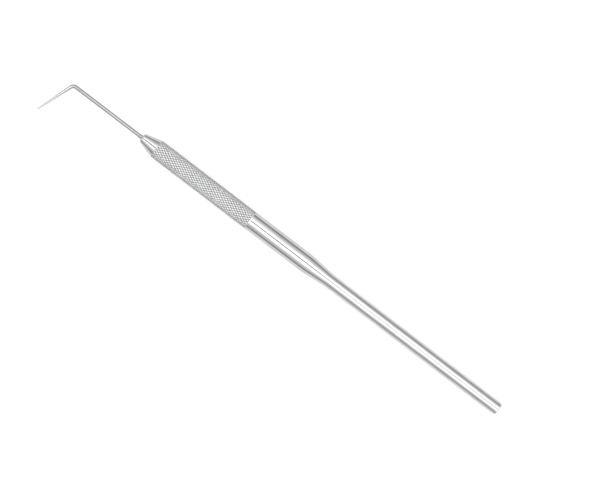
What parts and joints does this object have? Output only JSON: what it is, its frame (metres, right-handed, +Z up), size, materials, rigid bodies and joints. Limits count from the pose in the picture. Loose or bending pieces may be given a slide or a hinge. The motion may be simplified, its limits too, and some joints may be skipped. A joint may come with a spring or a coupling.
{
  "type": "scriber",
  "caption": "Hand scriber for marking metal: a bent, ground steel needle brazed into a slim turned handle with a diamond-knurled grip.",
  "frame": {"origin": "on the surface that the scriber lies on, under the middle of the whole tool's length and width", "axes": "+X along the handle from the nose to the flat butt, +Y away from the side that the point bends to, +Z up; the scriber lies on its knurl and on the needle's point"},
  "size_m": [0.165, 0.0156, 0.006],
  "materials": {
    "handle_steel": "bright fine-turned and polished stainless steel, with a rolled diamond knurl",
    "needle_steel": "bright drawn wire, finely ground towards the point",
    "braze_filler": "pale silver-brazing alloy, cleaned and bright"
  },
  "bodies": {
    "root": {"handle": "handle_steel", "needle": "needle_steel", "braze_joint": "braze_filler"}
  },
  "joints": []
}
